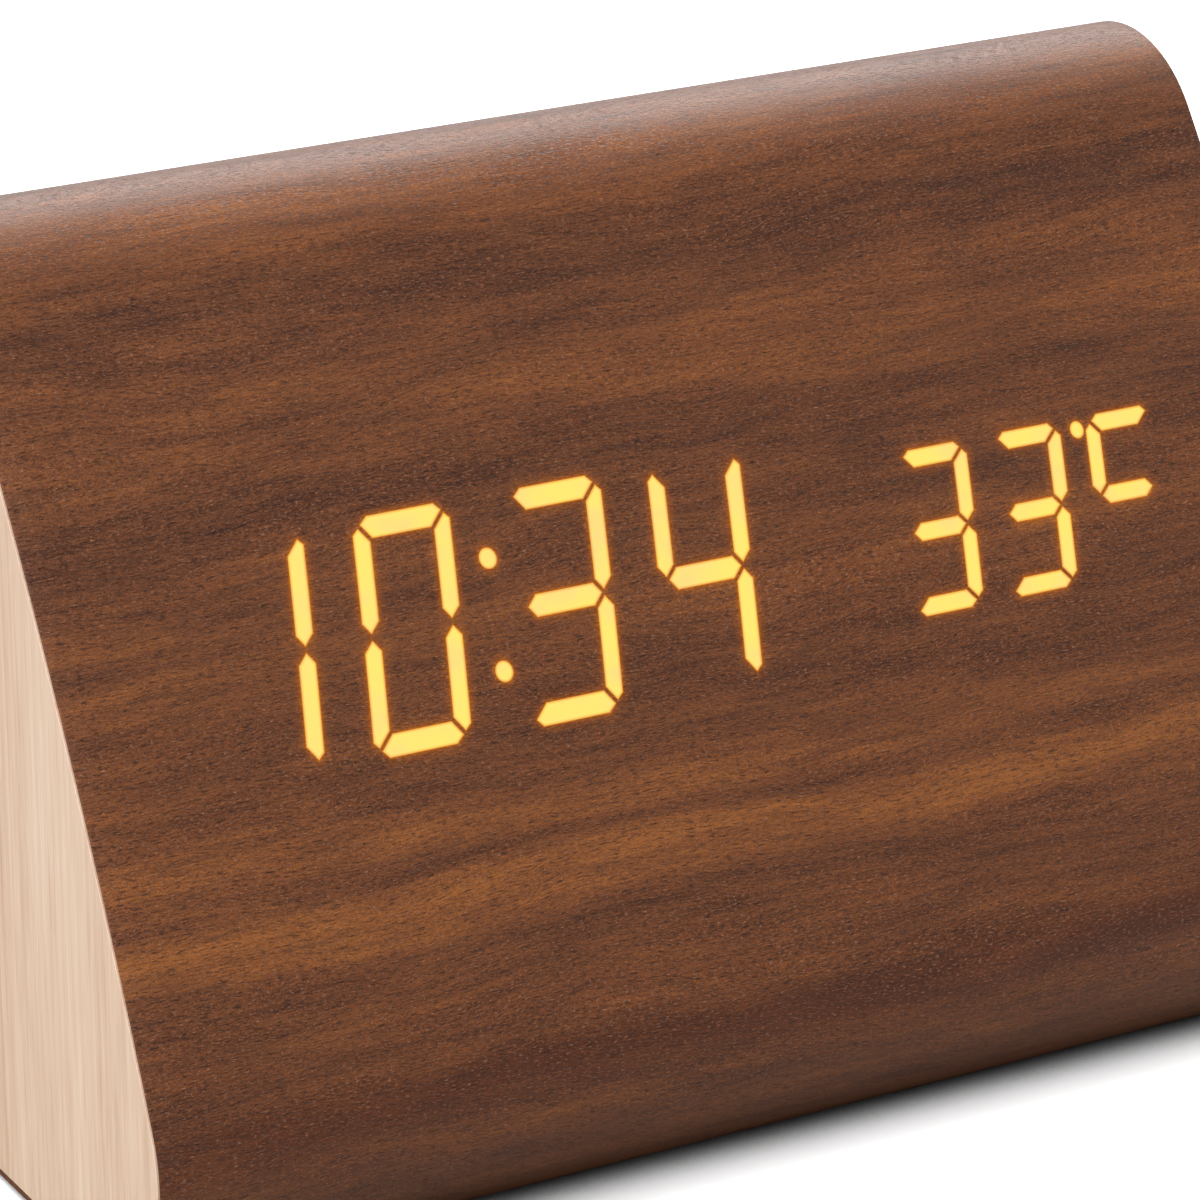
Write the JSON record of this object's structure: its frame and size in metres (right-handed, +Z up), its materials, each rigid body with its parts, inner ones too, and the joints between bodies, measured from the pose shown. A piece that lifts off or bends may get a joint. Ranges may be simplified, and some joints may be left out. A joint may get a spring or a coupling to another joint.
{
  "type": "digital alarm clock",
  "caption": "Three-sided wooden alarm clock: walnut skin round a hollow core, pale end panels, glowing segment digits, rear cover with battery bay, push buttons and socket.",
  "frame": {"origin": "on the table, below the middle of the clock", "axes": "+X along the clock to the right as it is read, -Y towards the reader, +Z up"},
  "size_m": [0.1, 0.075, 0.0682],
  "materials": {
    "walnut_veneer": "satin, fine grain along the length",
    "lit_veneer": "warm light glowing through thin veneer",
    "pale_wood": "matt pale end grain",
    "fibreboard": "bare fibreboard",
    "black_plastic": "fine moulded texture",
    "black_rubber": "matt",
    "white_film": "satin film",
    "black_film": "matt print",
    "white_plastic": "moulded",
    "led_white": "clear top",
    "circuit_board": "solder mask",
    "chip_black": "moulded",
    "resistor_black": "glazed",
    "plated_steel": "nickel plated",
    "grey_ribbon": "flat cable",
    "red_lead": "insulated wire",
    "cell_sleeve": "plain printed sleeve",
    "grey_plastic": "moulded"
  },
  "bodies": {
    "case": {"walnut_skin": "walnut_veneer", "lit_segments": "lit_veneer", "case_core": "fibreboard", "end_panel_left": "pale_wood", "end_panel_right": "pale_wood", "foot_pads": "black_rubber", "diffuser_film": "white_film", "segment_mask": "black_film", "segment_reflector": "white_plastic", "segment_leds": "led_white", "display_board": "circuit_board", "display_screws": "plated_steel", "driver_chip": "chip_black", "segment_resistors": "resistor_black", "ribbon_headers": "grey_plastic", "ribbon_cable": "grey_ribbon", "rear_cover": "black_plastic", "cover_screws": "plated_steel", "battery_cell_1": "cell_sleeve", "battery_cell_2": "cell_sleeve", "battery_cell_3": "cell_sleeve", "battery_contacts": "plated_steel", "battery_springs": "plated_steel", "battery_leads": "red_lead", "main_board": "circuit_board", "board_screws": "plated_steel", "tact_switches": "grey_plastic", "power_socket": "black_plastic", "microphone": "plated_steel", "microphone_boot": "black_rubber", "thermistor": "grey_plastic", "buzzer": "chip_black", "coin_cell_holder": "grey_plastic", "coin_cell": "plated_steel", "clock_chip": "chip_black", "crystal": "plated_steel", "capacitor": "plated_steel"},
    "set_button": {"set_button": "black_plastic", "set_switch_plunger": "chip_black"},
    "up_button": {"up_button": "black_plastic", "up_switch_plunger": "chip_black"},
    "down_button": {"down_button": "black_plastic", "down_switch_plunger": "chip_black"},
    "battery_door": {"battery_door": "black_plastic"}
  },
  "joints": [
    {"name": "set_press", "type": "slide", "parent": "case", "child": "set_button", "axis": [0, -0.866, -0.5], "range_m": [0, 0.0004], "stiffness_N_per_m": 1500, "springref_m": -0.0003},
    {"name": "up_press", "type": "slide", "parent": "case", "child": "up_button", "axis": [0, -0.866, -0.5], "range_m": [0, 0.0004], "stiffness_N_per_m": 1500, "springref_m": -0.0003},
    {"name": "down_press", "type": "slide", "parent": "case", "child": "down_button", "axis": [0, -0.866, -0.5], "range_m": [0, 0.0004], "stiffness_N_per_m": 1500, "springref_m": -0.0003},
    {"name": "battery_door_hinge", "type": "hinge", "parent": "case", "child": "battery_door", "pos_m": [0.01015, 0.02897, 0.02607], "axis": [-1, 0, 0], "range_deg": [0, 90]}
  ]
}
